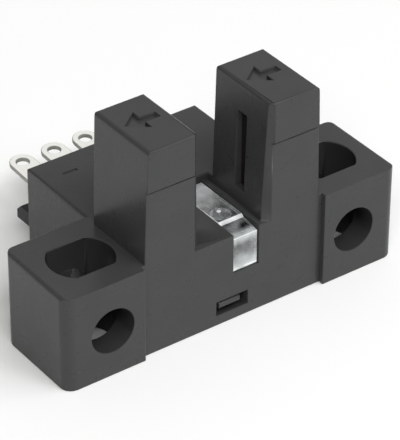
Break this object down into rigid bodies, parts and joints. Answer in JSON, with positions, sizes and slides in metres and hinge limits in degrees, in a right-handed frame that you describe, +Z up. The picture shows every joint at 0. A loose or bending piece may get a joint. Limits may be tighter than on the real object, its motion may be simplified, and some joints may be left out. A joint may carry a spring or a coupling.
{
  "type": "slotted optical switch",
  "caption": "Black slotted optical switch: towers with light slits face each other across a sensing slot, on an eared base with a clear light guide and rear solder tabs.",
  "frame": {"origin": "on the base plane, midway between the upright ear slots and halfway through the ears' depth", "axes": "+X along the ears towards the emitter tower, +Y back towards the solder tabs, +Z up out of the sensing slot"},
  "size_m": [0.026, 0.0199, 0.0153],
  "materials": {
    "housing": "satin moulded, black",
    "base_cover": "satin moulded, black",
    "light_guide": "clear moulded",
    "infrared_window": "dark infrared-passing",
    "board": "solder mask, green",
    "emitter": "tinted resin",
    "receiver": "dark resin",
    "lead": "tinned",
    "terminal": "bright tinned",
    "lamp": "diffuse resin",
    "chip_body": "moulded, black",
    "resistor": "coated chip",
    "capacitor": "fired chip"
  },
  "bodies": {
    "root": {"housing": "housing", "base_cover": "base_cover", "light_guide": "light_guide", "emitter_window": "infrared_window", "receiver_window": "infrared_window", "circuit_board": "board", "emitter_led": "emitter", "emitter_anode": "lead", "emitter_cathode": "lead", "receiver_ic": "receiver", "receiver_supply": "lead", "receiver_output": "lead", "receiver_ground": "lead", "indicator_led": "lamp", "output_transistor": "chip_body", "protection_diode": "chip_body", "led_resistor": "resistor", "output_resistor": "resistor", "bypass_capacitor": "capacitor", "terminal_minus": "terminal", "terminal_out": "terminal", "terminal_light": "terminal", "terminal_plus": "terminal"}
  },
  "joints": []
}
